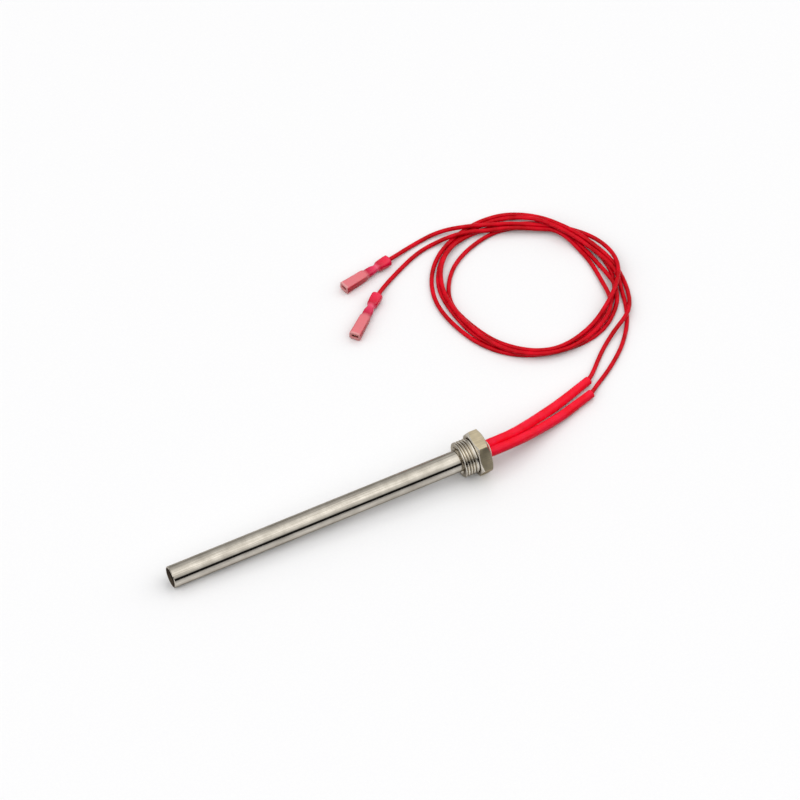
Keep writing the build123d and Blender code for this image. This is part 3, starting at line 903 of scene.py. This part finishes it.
# %% Sections of a cover
cover_outside = [
    (0.0, 5.05, 4.6, 2.4), (0.1, 5.25, 4.75, 2.4), (0.3, 5.3, 4.8, 2.4), (1.2, 5.35, 4.7, 2.5),
    (2.0, 5.3, 4.4, 2.8), (2.8, 5.2, 4.1, 3), (3.6, 5.15, 4.05, 3), (4.4, 5.1, 4.1, 2.8),
    (5.1, 5.05, 4.35, 2.5), (5.7, 4.95, 4.5, 2.3), (6.2, 4.8, 4.5, 2.2), (6.5, 4.45, 4.3, 2.1),
    (6.9, 3.8, 3.75, 2), (7.5, 3.55, 3.5, 2), (8.1, 3.5, 3.4, 2), (8.6, 3.8, 3.45, 2.05),
    (9.1, 4.15, 3.6, 2.2), (9.8, 4.4, 3.55, 2.4), (10.6, 4.5, 3.45, 2.5), (11.8, 4.5, 3.4, 2.5),
    (12.8, 4.5, 3.5, 2.4), (13.3, 4.45, 3.65, 2.5), (13.6, 4.6, 3.8, 3), (13.9, 4.8, 3.9, 4),
    (14.4, 4.85, 3.95, 5), (16.5, 4.95, 4.0, 5), (19.0, 5.07, 4.1, 5), (22.0, 5.2, 4.18, 5),
    (25.0, 5.35, 4.28, 5), (25.7, 5.4, 4.3, 5), (25.92, 5.3, 4.2, 5), (26.0, 5.1, 4.0, 5),
]
cover_inside = [
    (26.0, 3.6, 2.3, 5), (25.85, 3.2, 1.9, 5), (25.4, 3.1, 1.8, 5), (25.3, 4.1, 2.5, 8),
    (19.0, 4.1, 2.5, 8), (14.3, 4.1, 2.5, 8), (14.0, 2.5, 2.5, 2), (10.0, 2.5, 2.5, 2),
    (6.6, 2.5, 2.5, 2), (6.4, 3.3, 3.3, 2), (3.0, 3.3, 3.3, 2), (0.0, 3.3, 3.3, 2),
]


# %% [markdown]
# ## Dyed plastic of the covers
#
# Soft vinyl dyed right through is crimson where it is thick, and salmon pink where the wall is
# thin. It sends back its own colour with a soft gloss, and lets some light pass, coloured by the
# dye. So a plain body is mixed with a coloured film that light passes, and the film's share grows
# from the barrel to the box. Two shares stored in the mesh steer this: how far along the cover a
# point lies, and whether it is on a side of the box, where a deeper crimson is painted as shade.

# %% Dyed plastic
def dyed_cover(name):
    """Soft plastic, crimson and dense on the crimps, clearer and salmon pink on the box."""
    cloud_size = 2.38 * mm
    material, tree = new_material(name)
    space = pattern_space(tree)
    clouds = add_node(tree, "ShaderNodeTexNoise", Vector=space, Scale=1 / cloud_size, Detail=3.0)
    reach = add_node(tree, "ShaderNodeAttribute", {"attribute_name": "reach"})
    # The side share tells where shade is painted on the box.
    side = add_node(tree, "ShaderNodeAttribute", {"attribute_name": "side"})
    drift = add_node(
        tree, "ShaderNodeMath", {"operation": "MULTIPLY_ADD"}, i0=clouds, i1=0.05,
        i2=reach.outputs["Fac"],
    )
    dye = [
        (0.0, "#F41E50"), (0.14, "#EA083E"), (0.26, "#D40436"), (0.31, "#FF5E82"),
        (0.38, "#EC2C5E"), (0.50, "#D41044"), (0.57, "#FF8E98"), (0.985, "#FF9CA6"),
        (1.0, "#FFC2C4"),
    ]
    density = [
        (0.0, "#FFFFFF"), (0.28, "#FAFAFA"), (0.33, "#EEEEEE"), (0.38, "#F8F8F8"),
        (0.50, "#EEEEEE"), (0.57, "#D8D8D8"), (1.0, "#CECECE"),
    ]
    colour = add_node(tree, "ShaderNodeValToRGB", {"stops": dye}, Fac=drift)
    # Painted shade: the box's two sides are multiplied by a deeper crimson.
    side_shaded_colour = add_node(
        tree, "ShaderNodeMix", multiply, i0=side.outputs["Fac"], i6=colour, i7=linear("#D84E68")
    )
    dense = add_node(tree, "ShaderNodeValToRGB", {"stops": density}, Fac=drift)
    film = add_node(tree, "ShaderNodeBsdfTransparent", Color=linear("#FF5A70"))
    gloss = add_node(tree, "ShaderNodeMapRange", Value=clouds, To_Min=0.10, To_Max=0.26)
    skin = add_node(tree, "ShaderNodeBump", Strength=0.25, Distance=0.05 * mm, Height=clouds)
    body = add_node(
        tree, "ShaderNodeBsdfPrincipled", Base_Color=side_shaded_colour.outputs[2], Roughness=gloss, IOR=1.46,
        Normal=skin,
    )
    mixed = add_node(tree, "ShaderNodeMixShader", i0=dense, i1=film, i2=body)
    add_node(tree, "ShaderNodeOutputMaterial", Surface=mixed)
    return material


# %% Shares stored in a cover
cover_length = 26.0
box_start = 14.0
side_start = 2.2


def cover_reach(x, y, z):
    """How far along the cover a point lies."""
    return x / cover_length


def painted_side_shade(x, y, z):
    """Painted shade: 1 on the box's two sides above their foot, rising over a third of a mm; 0
    elsewhere.
    """
    on_box = box_start < x < cover_length - 0.2 and z > -1.3
    return (abs(y) - side_start) * 3 if on_box else 0.0


# %% Covers
def copy_of(piece):
    """Copy of a piece, with a mesh of its own."""
    twin = piece.copy()
    twin.data = piece.data.copy()
    bpy.context.scene.collection.objects.link(twin)
    return twin


cover_plastic = dyed_cover("dyed_soft_plastic_cover")
first_cover = lofted(cover_outside + cover_inside)
store_share(first_cover, "reach", cover_reach)
# The side share marks the box's sides, where shade is painted.
store_share(first_cover, "side", painted_side_shade)
covers = {"a": first_cover, "b": copy_of(first_cover)}
for mark, cover in covers.items():
    turn = Matrix.Rotation(heading_of[mark], 4, "Z")
    place = Matrix.Translation(entry_of[mark] * mm) @ turn
    finish_piece(cover, f"moulded_cover_{mark}", cover_plastic, place, smooth=40)
    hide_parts(f"cover_{mark}")

# %% [markdown]
# ## Lengths of the leads
#
# Each lead leaves the splice behind the heater. Its length is measured along its line and
# printed.

for mark, lead in leads.items():
    length = length_of(points_of(lead))
    print(lead.name, "length:", round(length, 4), "m")

# %% [markdown]
# ## Finishes of the pieces that keep their own shape
#
# The remaining nodes already have the right shape, and each gets the finish of what it is made of.
# Hot-dipped tin on brass is a soft grey-white, slightly wavy. A nickel pin is a yellowish grey.
# Resistance wire has been drawn and annealed, so it is dark and satin. Bare strands show as a
# coppery rope. Magnesia is crushed and packed, so it is white, dry and grainy, and an extruded
# ceramic is cream and a little smoother.

# %% Finishes of the remaining nodes
tinned_brass = grainy("tinned_brass", "#B8B2A4", "#D6D2C6", 0.26, 1.2, metallic=1.0, depth=0.01)
nickel = grainy("nickel_pin", "#A8A49A", "#C4C0B6", 0.30, 0.8, metallic=1.0, depth=0.01)
wire_alloy = grainy("resistance_alloy", "#6E675E", "#8C857A", 0.42, 0.5, metallic=1.0, depth=0.01)
copper = grainy("copper_strand", "#B5653F", "#D98C63", 0.32, 0.25, metallic=1.0, depth=0.06)
magnesia = grainy("packed_magnesia", "#DAD6CC", "#F0EDE6", 0.90, 0.25)
ceramic = grainy("extruded_ceramic", "#D9CFB8", "#EFE8D6", 0.62, 0.30, depth=0.02)
node_finishes = {
    "sheath_tube": drawn_steel, "magnesia_fill": magnesia, "heater_core": ceramic,
    "resistance_wire": wire_alloy, "pin_a": nickel, "pin_b": nickel, "end_bush": ceramic,
    "potting_seal": cement, "splice_a": tinned_brass, "splice_b": tinned_brass,
    "strand_a_root": copper, "strand_b_root": copper, "strand_a_end": copper,
    "strand_b_end": copper, "contact_a": tinned_brass, "contact_b": tinned_brass,
}
for name, material in node_finishes.items():
    node = nodes[name]
    if node.material_slots:
        for holder in node.material_slots:
            holder.material = material
    else:
        node.data.materials.append(material)
print("nodes with a finish:", len(node_finishes))

# %% [markdown]
# ## Floor and light
#
# A polished tube shows what stands round it, as a strip for each direction. Such a part is
# photographed on a white sweep, under one wide soft light, in a room that is dark behind the
# camera. So the world is brightest overhead, a mid tone beyond the part, and dark from the
# horizon to 23 degrees up on the camera's side. That dark zone is the black line along the tube.
# The sweep is white to the camera, and to rays that a mirror or a clear piece sends on, so metal
# and plastic show the same ground. To every other ray it is duller, so that less light comes back
# up from below. It still takes the object's shadow. Its fibres are finer than a pixel, so a cloud
# of a millimetre stands for them.

# %% Floor
start_clean()
bpy.ops.mesh.primitive_plane_add(size=12.0)
floor = bpy.context.object
floor.name = "floor"
fibre_size = 1.111 * mm
sweep, tree = new_material("white_paper_sweep")
fibre = add_node(
    tree, "ShaderNodeTexNoise", Vector=pattern_space(tree), Scale=1 / fibre_size, Detail=3.0
)
white = add_node(
    tree, "ShaderNodeValToRGB", {"stops": [(0.3, "#F9FAFE"), (0.7, "#FBFCFF")]}, Fac=fibre
)
ray = add_node(tree, "ShaderNodeLightPath")
mirrored = add_node(
    tree, "ShaderNodeMath", {"operation": "MAXIMUM"}, i0=ray.outputs["Is Glossy Ray"],
    i1=ray.outputs["Is Transmission Ray"],
)
seen = add_node(
    tree, "ShaderNodeMath", {"operation": "MAXIMUM"}, i0=ray.outputs["Is Camera Ray"], i1=mirrored
)
paper = add_node(
    tree, "ShaderNodeMix", {"data_type": "RGBA"}, i0=seen, i6=linear("#8E8C88"), i7=white
)
shader = add_node(
    tree, "ShaderNodeBsdfPrincipled", Base_Color=paper.outputs[2], Roughness=0.20, IOR=1.6
)
add_node(tree, "ShaderNodeOutputMaterial", Surface=shader)
floor.data.materials.append(sweep)
print("floor:", sweep.name)

# %% [markdown]
# The world's light depends on one angle only: how far a direction leans from straight up towards
# the camera's side, in degrees. A table of levels over that angle becomes a colour ramp. A ramp
# holds colours up to 1, so each level is divided by the brightest one, which is the strength of
# the background.

# %% World
levels = [
    (-180, 0.29), (-92, 0.29), (-70, 0.55), (-45, 0.76), (-20, 1.09), (0, 1.41), (14, 1.53),
    (28, 1.36), (42, 1.03), (56, 0.76), (65, 0.56), (67, 0.01), (92, 0.01), (110, 0.29),
]
brightest = max(level for lean, level in levels)
warmth = (1.0, 0.99, 0.965)
stops = [
    ((lean + 180) / 360, (*(level / brightest * share for share in warmth), 1.0))
    for lean, level in levels
]
world = bpy.data.worlds.new("studio")
bpy.context.scene.world = world
world.use_nodes = True
tree = world.node_tree
tree.nodes.clear()
coordinates = add_node(tree, "ShaderNodeTexCoord")
parts = add_node(tree, "ShaderNodeSeparateXYZ", Vector=coordinates.outputs["Generated"])
towards = add_node(
    tree, "ShaderNodeMath", {"operation": "MULTIPLY"}, i0=parts.outputs["Y"], i1=-1.0
)
lean = add_node(
    tree, "ShaderNodeMath", {"operation": "ARCTAN2"}, i0=towards, i1=parts.outputs["Z"]
)
turn_share = add_node(tree, "ShaderNodeMapRange", Value=lean, From_Min=-pi, From_Max=pi)
light = add_node(tree, "ShaderNodeValToRGB", {"stops": stops}, Fac=turn_share)
background = add_node(tree, "ShaderNodeBackground", Color=light, Strength=brightest)
add_node(tree, "ShaderNodeOutputWorld", Surface=background)
bpy.context.scene.view_settings.view_transform = "Standard"
print("world levels:", len(levels))
